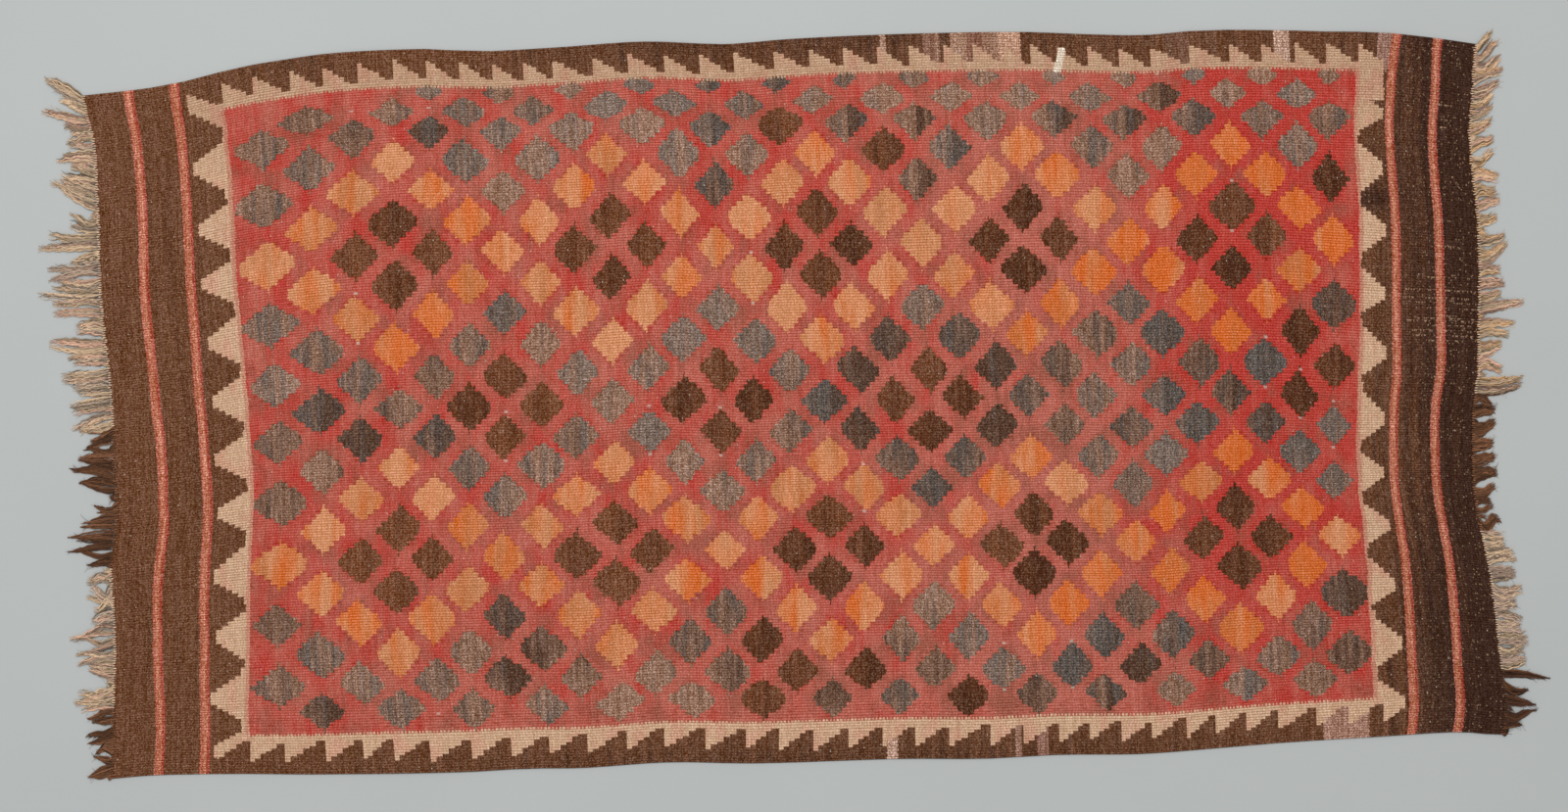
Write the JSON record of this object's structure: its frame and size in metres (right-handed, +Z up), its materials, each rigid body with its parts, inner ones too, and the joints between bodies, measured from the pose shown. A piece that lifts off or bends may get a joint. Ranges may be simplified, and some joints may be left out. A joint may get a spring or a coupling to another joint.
{
  "type": "kilim rug",
  "caption": "Flat slit-woven wool kilim rug with a stepped diamond field, toothed side and end borders, and a fringe of warp ends at both ends.",
  "frame": {"origin": "on the floor under the middle of the rug's footprint, fringes included", "axes": "+X along the rug's length and its warps, +Y across it to the far selvedge, +Z up out of the patterned face"},
  "size_m": [2.1457, 1.0576, 0.003],
  "materials": {
    "woven_wool": "matt packed wool weft in madder red with orange, brown, grey and undyed motifs",
    "warp_wool": "matt undyed plied wool, tan and dark brown"
  },
  "bodies": {
    "root": {"kilim_ground": "woven_wool", "fringe_left": "warp_wool", "fringe_right": "warp_wool"}
  },
  "joints": []
}
